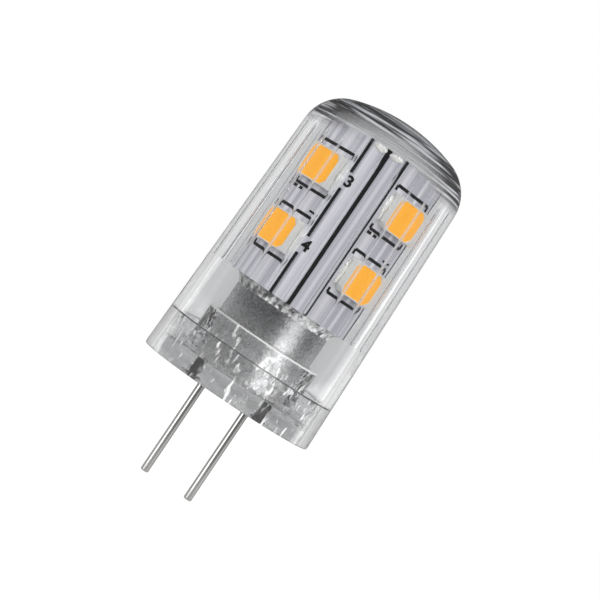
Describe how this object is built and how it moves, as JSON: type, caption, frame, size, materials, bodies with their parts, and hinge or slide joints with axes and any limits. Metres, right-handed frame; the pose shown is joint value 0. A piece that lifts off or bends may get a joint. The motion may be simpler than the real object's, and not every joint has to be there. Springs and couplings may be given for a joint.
{
  "type": "bi-pin led bulb",
  "caption": "Clear capsule LED bulb: a ribbed cover and a plug base closed round a folded LED board on a metal tube, with straight contact pins below.",
  "frame": {"origin": "centre of the base's underside, midway between the two contact pins", "axes": "+Z along the bulb's axis from the pins to the dome, X along the line of the two pins, and the LED board's seam towards -Y"},
  "size_m": [0.015, 0.015, 0.0335],
  "materials": {
    "clear_plastic": "clear moulded polycarbonate",
    "pin_metal": "tinned round wire",
    "tube_aluminium": "satin drawn tube",
    "board_white": "white solder mask on an aluminium core",
    "adhesive": "clear cured adhesive",
    "led_white": "white moulded cup",
    "phosphor": "orange-yellow phosphor in silicone",
    "terminal_tin": "tinned terminals",
    "driver_laminate": "green circuit board",
    "black_epoxy": "moulded black epoxy",
    "capacitor_moulding": "moulded amber resin",
    "ferrite": "sintered ferrite",
    "copper": "enamelled copper wire",
    "ceramic": "fired ceramic"
  },
  "bodies": {
    "root": {"cover": "clear_plastic", "base": "clear_plastic", "contact_pin_left": "pin_metal", "contact_pin_right": "pin_metal", "heat_tube": "tube_aluminium", "adhesive_bead": "adhesive", "led_board": "board_white", "driver_board": "driver_laminate", "bridge_rectifier": "black_epoxy", "bridge_leads": "terminal_tin", "driver_chip": "black_epoxy", "driver_chip_leads": "terminal_tin", "inductor_core": "ferrite", "inductor_winding": "copper", "smoothing_capacitor": "capacitor_moulding", "capacitor_terminals": "terminal_tin", "sense_resistor": "black_epoxy", "input_capacitor": "ceramic", "output_capacitor": "ceramic", "chip_end_caps": "terminal_tin", "led_strap_plus": "terminal_tin", "led_strap_minus": "terminal_tin", "led_1_housing": "led_white", "led_1_phosphor": "phosphor", "led_1_terminals": "terminal_tin", "led_2_housing": "led_white", "led_2_phosphor": "phosphor", "led_2_terminals": "terminal_tin", "led_3_housing": "led_white", "led_3_phosphor": "phosphor", "led_3_terminals": "terminal_tin", "led_4_housing": "led_white", "led_4_phosphor": "phosphor", "led_4_terminals": "terminal_tin", "led_5_housing": "led_white", "led_5_phosphor": "phosphor", "led_5_terminals": "terminal_tin", "led_6_housing": "led_white", "led_6_phosphor": "phosphor", "led_6_terminals": "terminal_tin", "led_7_housing": "led_white", "led_7_phosphor": "phosphor", "led_7_terminals": "terminal_tin", "led_8_housing": "led_white", "led_8_phosphor": "phosphor", "led_8_terminals": "terminal_tin"}
  },
  "joints": []
}
